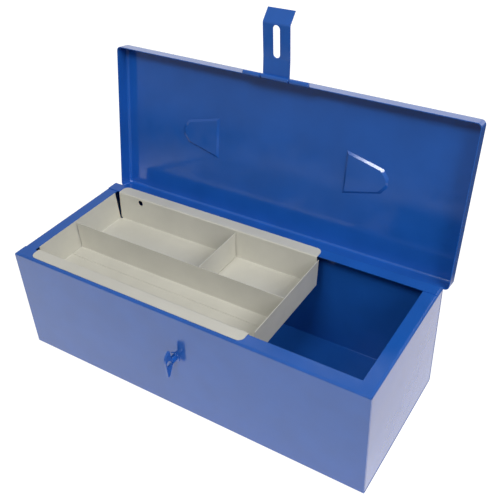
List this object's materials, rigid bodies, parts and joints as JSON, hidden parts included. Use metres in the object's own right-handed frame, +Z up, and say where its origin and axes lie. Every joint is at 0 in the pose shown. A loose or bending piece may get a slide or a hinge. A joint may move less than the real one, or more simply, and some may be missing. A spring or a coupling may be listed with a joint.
{
  "type": "chest tool box",
  "caption": "Steel tool box with a rear-hinged pan lid, a slotted hasp and swivel staple, a sliding tray split by dividers, and a folding carrying handle.",
  "frame": {"origin": "middle of the underside of the box body", "axes": "+X along the length to the right, -Y to the front, +Z up; the lid stands open"},
  "size_m": [0.506, 0.2876, 0.4265],
  "materials": {
    "blue_enamel": "gloss enamel on sheet steel",
    "cream_enamel": "satin enamel on sheet steel",
    "plated_rod": "bright zinc plate on steel rod",
    "black_plastic": "moulded, semi-gloss"
  },
  "bodies": {
    "box": {"body_shell": "blue_enamel", "end_panel_left": "blue_enamel", "end_panel_right": "blue_enamel", "hinge_left_body_leaf": "blue_enamel", "hinge_right_body_leaf": "blue_enamel", "hinge_left_pin": "blue_enamel", "hinge_right_pin": "blue_enamel", "staple_base_washer": "blue_enamel", "staple_inner_washer": "blue_enamel"},
    "lid": {"lid_pan": "blue_enamel", "hinge_left_lid_leaf": "blue_enamel", "hinge_right_lid_leaf": "blue_enamel", "handle_bracket_left": "blue_enamel", "handle_bracket_right": "blue_enamel", "hasp_leaf": "blue_enamel", "hasp_pin": "blue_enamel"},
    "strap": {"hasp_strap": "blue_enamel"},
    "handle": {"handle_bail": "plated_rod", "handle_grip": "black_plastic"},
    "staple": {"swivel_staple": "blue_enamel"},
    "tray": {"tray_pan": "cream_enamel", "tray_long_divider": "cream_enamel", "tray_cross_divider": "cream_enamel"}
  },
  "joints": [
    {"name": "lid_hinge", "type": "hinge", "parent": "box", "child": "lid", "pos_m": [0, 0.1096, 0.134], "axis": [1, 0, 0], "range_deg": [0, 99.6]},
    {"name": "hasp_hinge", "type": "hinge", "parent": "lid", "child": "strap", "pos_m": [0, 0.14517, 0.3473], "axis": [1, 0, 0], "range_deg": [-62, 88.6]},
    {"name": "handle_hinge", "type": "hinge", "parent": "lid", "child": "handle", "pos_m": [0, 0.15375, 0.23972], "axis": [1, 0, 0], "range_deg": [-3.2, 163.8]},
    {"name": "tray_slide", "type": "slide", "parent": "box", "child": "tray", "axis": [1, 0, 0], "range_m": [0, 0.131]},
    {"name": "staple_swivel", "type": "hinge", "parent": "box", "child": "staple", "pos_m": [0, -0.1, 0.08975], "axis": [0, 1, 0], "range_deg": [-90, 90]}
  ]
}
